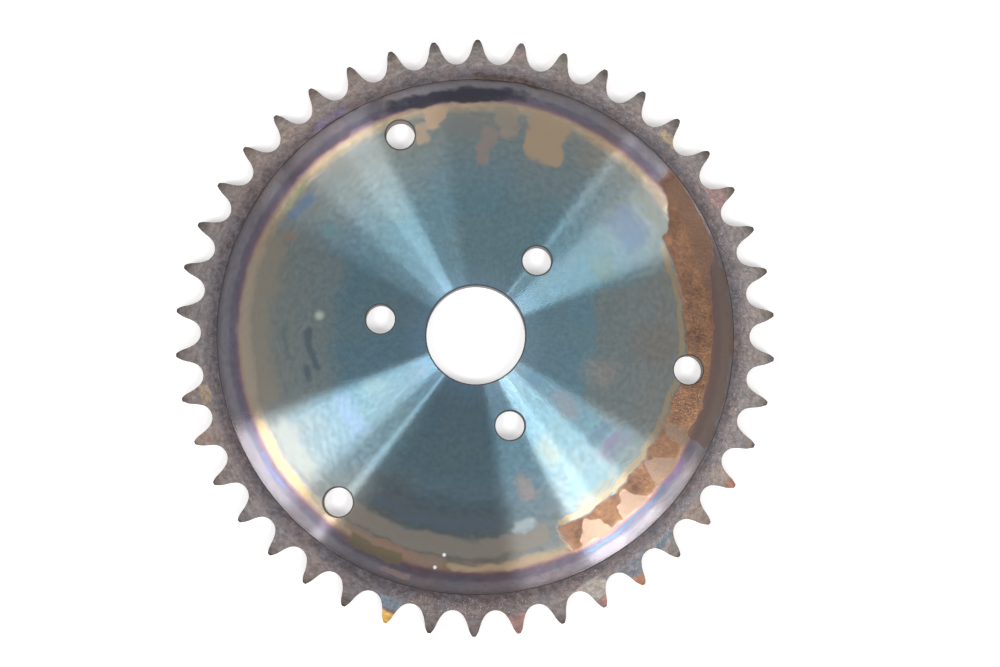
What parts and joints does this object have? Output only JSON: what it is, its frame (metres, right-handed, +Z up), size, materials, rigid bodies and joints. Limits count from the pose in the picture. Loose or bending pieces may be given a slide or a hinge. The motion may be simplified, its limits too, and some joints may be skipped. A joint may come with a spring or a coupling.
{
  "type": "sprocket",
  "caption": "Flat steel plate sprocket for a roller chain, with a plain central bore and two rings of bolt holes.",
  "frame": {"origin": "centre of the bore at the lower face, on which the sprocket lies", "axes": "+Z up along the bore axis, through the thickness; +X to the right and +Y away as the upper face is seen from above"},
  "size_m": [0.1766, 0.177, 0.0063],
  "materials": {
    "steel": "turned faces with heat colours from the hardened teeth, light rust and a dull, scaled tooth rim"
  },
  "bodies": {
    "root": {"sprocket": "steel"}
  },
  "joints": []
}
